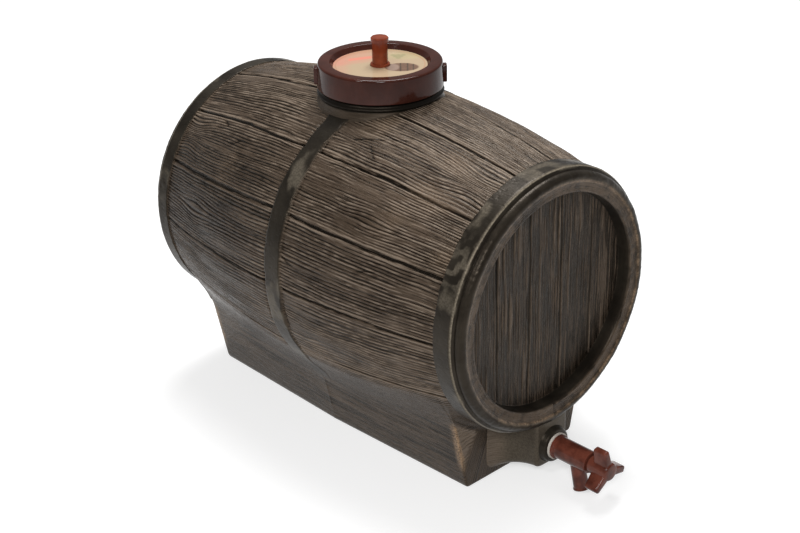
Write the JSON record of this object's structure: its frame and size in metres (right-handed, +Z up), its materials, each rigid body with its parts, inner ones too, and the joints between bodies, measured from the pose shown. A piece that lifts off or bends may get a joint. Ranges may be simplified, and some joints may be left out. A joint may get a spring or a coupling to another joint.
{
  "type": "wine barrel",
  "caption": "Small moulded wine barrel in an oak look, lying on its own plinth, with a screw lid, a pull-up air vent and a three-wing drum tap.",
  "frame": {"origin": "centre of the plinth's bottom face, on the ground, below the middle of the barrel", "axes": "+X along the barrel's axis towards the tap, +Z up"},
  "size_m": [0.4632, 0.2736, 0.3481],
  "materials": {
    "shell_plastic": "moulded oak-look relief, dark with dry-brushed lighter ridges",
    "lid_plastic": "smooth gloss red-brown",
    "vent_plastic": "smooth orange-brown",
    "tap_plastic": "smooth red-brown, slightly mottled",
    "white_rubber": "soft white",
    "seal_rubber": "soft grey",
    "label_film": null
  },
  "bodies": {
    "barrel": {"barrel_shell": "shell_plastic", "tap_body": "tap_plastic", "tap_outer_gasket": "white_rubber", "tap_inner_gasket": "seal_rubber", "tap_backnut": "tap_plastic", "tap_bonnet": "tap_plastic", "tap_spindle_ring": "seal_rubber"},
    "lid_seal": {"lid_gasket": "seal_rubber"},
    "lid": {"lid": "lid_plastic", "lid_label": "label_film", "vent_stem": "vent_plastic", "vent_gasket": "seal_rubber", "vent_nut": "vent_plastic"},
    "vent": {"vent_cap": "vent_plastic"},
    "valve": {"tap_valve_seal": "seal_rubber"},
    "knob": {"tap_spindle": "tap_plastic", "tap_handle": "tap_plastic"}
  },
  "joints": [
    {"name": "lid_rise", "type": "slide", "parent": "barrel", "child": "lid_seal", "axis": [0, 0, 1], "range_m": [0, 0.009]},
    {"name": "lid_turn", "type": "hinge", "parent": "lid_seal", "child": "lid", "pos_m": [-0.005, 0, 0.3], "axis": [0, 0, 1], "range_deg": [0, 540]},
    {"name": "vent_pull", "type": "slide", "parent": "lid", "child": "vent", "axis": [0, 0, 1], "range_m": [0, 0.006]},
    {"name": "valve_lift", "type": "slide", "parent": "barrel", "child": "valve", "axis": [1, 0, 0], "range_m": [0, 0.005]},
    {"name": "tap_turn", "type": "hinge", "parent": "valve", "child": "knob", "pos_m": [0.25, 0, 0.032], "axis": [1, 0, 0], "range_deg": [0, 450]}
  ],
  "couplings": [
    {"joint": "lid_rise", "follows": "lid_turn", "m_per_rad": 0.00095492},
    {"joint": "valve_lift", "follows": "tap_turn", "m_per_rad": 0.00063661}
  ]
}
